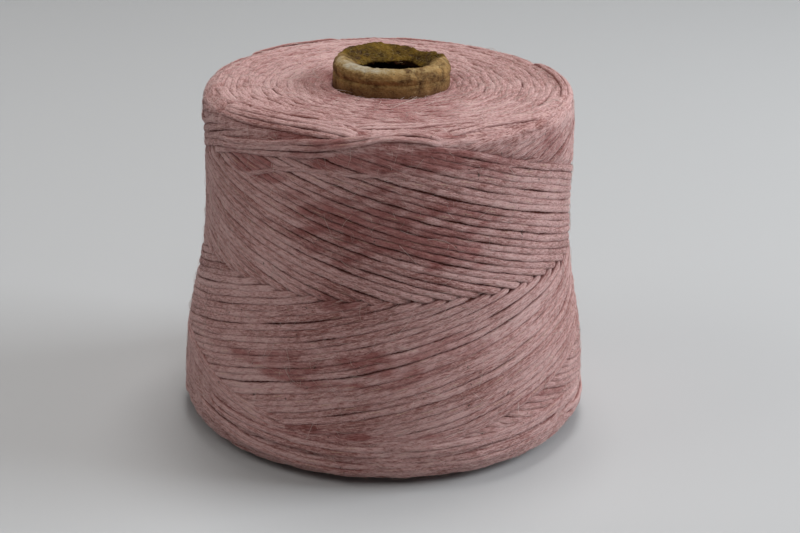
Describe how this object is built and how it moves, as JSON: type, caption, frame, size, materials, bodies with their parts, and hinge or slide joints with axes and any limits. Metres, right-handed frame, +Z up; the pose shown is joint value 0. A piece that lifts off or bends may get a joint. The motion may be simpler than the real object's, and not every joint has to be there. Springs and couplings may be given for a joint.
{
  "type": "spool of jute twine",
  "caption": "Cross-wound package of rose-dyed jute twine on a thick paper core tube, standing on one end; the open core takes a spindle or a finger.",
  "frame": {"origin": "middle of the flat base that the spool stands on", "axes": "+Z up along the core, -Y towards the side seen in the source view, +X to its right"},
  "size_m": [0.1474, 0.1466, 0.134],
  "materials": {
    "rose_jute_yarn": "dusty rose dyed jute twine, matt and slightly hairy, with darker patches and brown flecks of bark",
    "brown_core_paper": "thick brown core paper, matt, pale where the lip is rubbed and yellow-brown where it is torn"
  },
  "bodies": {
    "root": {"yarn_package": "rose_jute_yarn", "core_tube": "brown_core_paper"}
  },
  "joints": []
}
